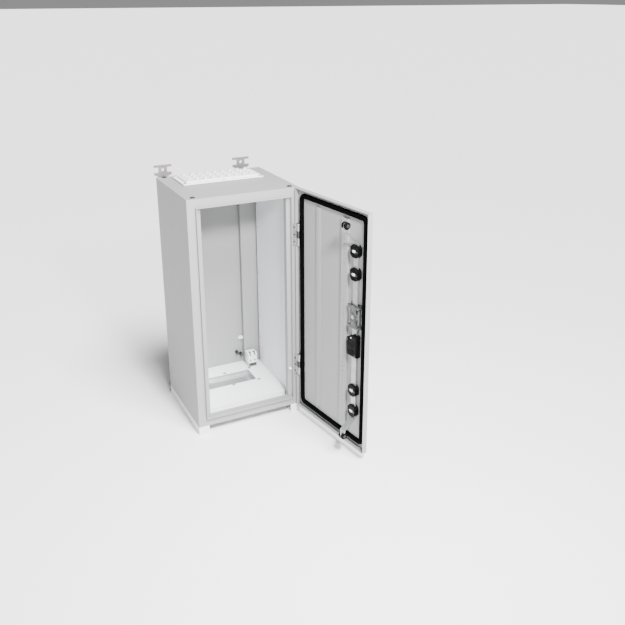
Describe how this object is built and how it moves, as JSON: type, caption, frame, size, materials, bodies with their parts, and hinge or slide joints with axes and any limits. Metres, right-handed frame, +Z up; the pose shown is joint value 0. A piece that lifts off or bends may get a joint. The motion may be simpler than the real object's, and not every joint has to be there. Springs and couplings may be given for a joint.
{
  "type": "switchboard cabinet",
  "caption": "Tall sheet steel switchboard cabinet with an open hinged door, rod lock, roof cable entry plate, base rails and wall brackets.",
  "frame": {"origin": "centre of the floor bolt pattern, on the plane the base rails rest on", "axes": "+Z up, +Y towards the wall behind the cabinet, front and door towards -Y, +X towards the hinge side"},
  "size_m": [0.3721, 0.5875, 0.709],
  "materials": {
    "shell_paint": "light grey textured powder coat",
    "inner_paint": "white smooth powder coat",
    "plinth_paint": "pale smooth powder coat",
    "entry_plastic": "white moulded plastic",
    "entry_rubber": "soft white elastomer",
    "zinc": "bright zinc plate",
    "zinc_mauve": "passivated zinc plate, faint mauve",
    "steel_grey": "plain plated steel",
    "dark_steel": "dark oxide",
    "black_plastic": "black glass filled nylon",
    "gasket_black": "foamed polyurethane seal",
    "plug_grey": "dark grey moulded plug",
    "white_plastic": "white moulded plastic"
  },
  "bodies": {
    "cabinet": {"side_panel_left": "shell_paint", "side_panel_right": "shell_paint", "back_panel": "shell_paint", "roof_panel": "shell_paint", "floor_panel": "inner_paint", "front_post_left": "shell_paint", "front_post_right": "shell_paint", "front_top_rail": "shell_paint", "front_sill": "shell_paint", "side_liner_left": "inner_paint", "side_liner_right": "inner_paint", "rear_post_left": "shell_paint", "rear_post_right": "shell_paint", "base_rail_left": "plinth_paint", "base_rail_right": "plinth_paint", "top_entry_plate": "entry_plastic", "entry_membranes": "entry_rubber", "entry_plate_screws": "steel_grey", "floor_gland_screws": "steel_grey", "base_rail_screws": "steel_grey", "bracket_bolts": "steel_grey", "floor_gland_plate": "steel_grey", "earth_terminal_bracket": "steel_grey", "entry_plate_seal": "gasket_black", "floor_gland_seal": "gasket_black", "corner_plugs": "plug_grey", "wall_bracket_upper_left": "zinc_mauve", "wall_bracket_upper_right": "zinc_mauve", "wall_bracket_lower_left": "zinc_mauve", "wall_bracket_lower_right": "zinc_mauve", "body_hinge_leaf_lower": "zinc", "body_hinge_leaf_upper": "zinc", "earth_terminal_screws": "dark_steel", "earth_studs": "dark_steel", "hinge_pins": "dark_steel", "earth_terminal_block": "white_plastic", "wall_clip": "white_plastic", "door_buffer": "white_plastic"},
    "door": {"door_panel": "shell_paint", "door_gasket": "gasket_black", "door_stiffener": "shell_paint", "door_perforated_rail": "shell_paint", "rod_guides": "black_plastic", "guide_screws": "dark_steel", "gear_plate": "zinc", "lock_case": "black_plastic", "lock_case_screws": "dark_steel", "handle_escutcheon": "black_plastic", "door_hinge_leaf_lower": "dark_steel", "door_hinge_leaf_upper": "dark_steel"},
    "handle": {"handle_lever": "black_plastic", "handle_spindle": "steel_grey", "lock_pinion": "steel_grey"},
    "upper_rod": {"upper_lock_rod": "zinc", "upper_roller_pin": "steel_grey"},
    "lower_rod": {"lower_lock_rod": "zinc", "lower_roller_pin": "steel_grey"},
    "upper_roller": {"upper_rollers": "black_plastic"},
    "lower_roller": {"lower_rollers": "black_plastic"},
    "key_barrel": {"lock_barrel": "steel_grey"}
  },
  "joints": [
    {"name": "door_swing", "type": "hinge", "parent": "cabinet", "child": "door", "pos_m": [0.149, -0.145, 0.35], "axis": [0, 0, 1], "range_deg": [-98, 32]},
    {"name": "handle_turn", "type": "hinge", "parent": "door", "child": "handle", "pos_m": [0.1833, -0.39624, 0.397], "axis": [-0.9903, -0.1392, 0], "range_deg": [0, 90]},
    {"name": "upper_rod_slide", "type": "slide", "parent": "door", "child": "upper_rod", "axis": [0, 0, 1], "range_m": [0, 0.01581]},
    {"name": "lower_rod_slide", "type": "slide", "parent": "door", "child": "lower_rod", "axis": [0, 0, -1], "range_m": [0, 0.01581]},
    {"name": "upper_roller_spin", "type": "hinge", "parent": "upper_rod", "child": "upper_roller", "pos_m": [0.15062, -0.40083, 0.6403], "axis": [-0.1392, 0.9903, 0], "continuous": true},
    {"name": "lower_roller_spin", "type": "hinge", "parent": "lower_rod", "child": "lower_roller", "pos_m": [0.15062, -0.40083, 0.0652], "axis": [-0.1392, 0.9903, 0], "continuous": true},
    {"name": "key_turn", "type": "hinge", "parent": "door", "child": "key_barrel", "pos_m": [0.18744, -0.37899, 0.315], "axis": [-0.9903, -0.1392, 0], "range_deg": [0, 90]}
  ],
  "couplings": [
    {"joint": "upper_rod_slide", "follows": "handle_turn", "m_per_rad": 0.01},
    {"joint": "lower_rod_slide", "follows": "handle_turn", "m_per_rad": 0.01}
  ]
}
